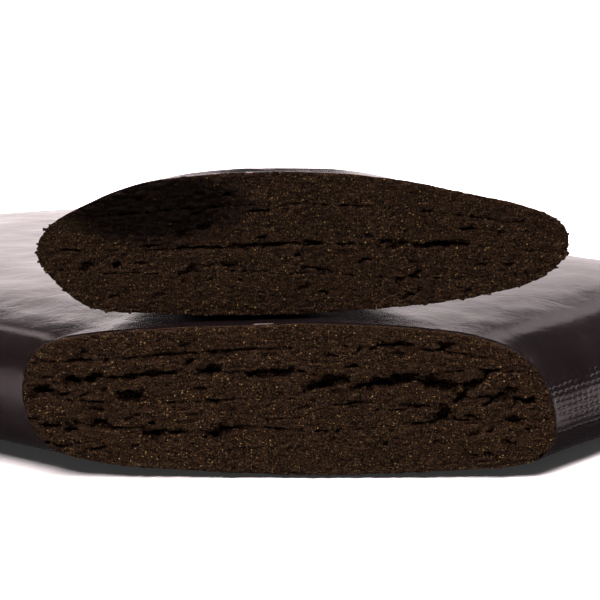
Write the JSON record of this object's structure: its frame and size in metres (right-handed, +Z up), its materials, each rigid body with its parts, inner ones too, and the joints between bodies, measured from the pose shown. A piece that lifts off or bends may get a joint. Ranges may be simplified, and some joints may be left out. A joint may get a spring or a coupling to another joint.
{
  "type": "resin cake",
  "caption": "Pressed dark resin cake with one corner cut off across its layers and the cut slice lying loose on top: glossy thin rind, crumbly laminated core.",
  "frame": {"origin": "middle of the cake's footprint, on the surface that it stands on", "axes": "+Z up; the cake's cut face lies along X and faces -Y; the cake runs back from it, further to -X"},
  "size_m": [0.1174, 0.0828, 0.0323],
  "materials": {
    "rind": "glossy pressed resin skin with a faint press-cloth grain",
    "core": "dull crumbly dark brown resin with golden grains"
  },
  "bodies": {
    "cake": {"cake_rind": "rind", "cake_layer_1": "core", "cake_layer_2": "core", "cake_layer_3": "core", "cake_layer_4": "core", "cake_layer_5": "core"},
    "slice": {"slice_rind": "rind", "slice_layer_1": "core", "slice_layer_2": "core", "slice_layer_3": "core", "slice_layer_4": "core"}
  },
  "joints": [
    {"name": "slice_lift", "type": "slide", "parent": "cake", "child": "slice", "axis": [0, 0, 1], "range_m": [0, 0.06]}
  ]
}
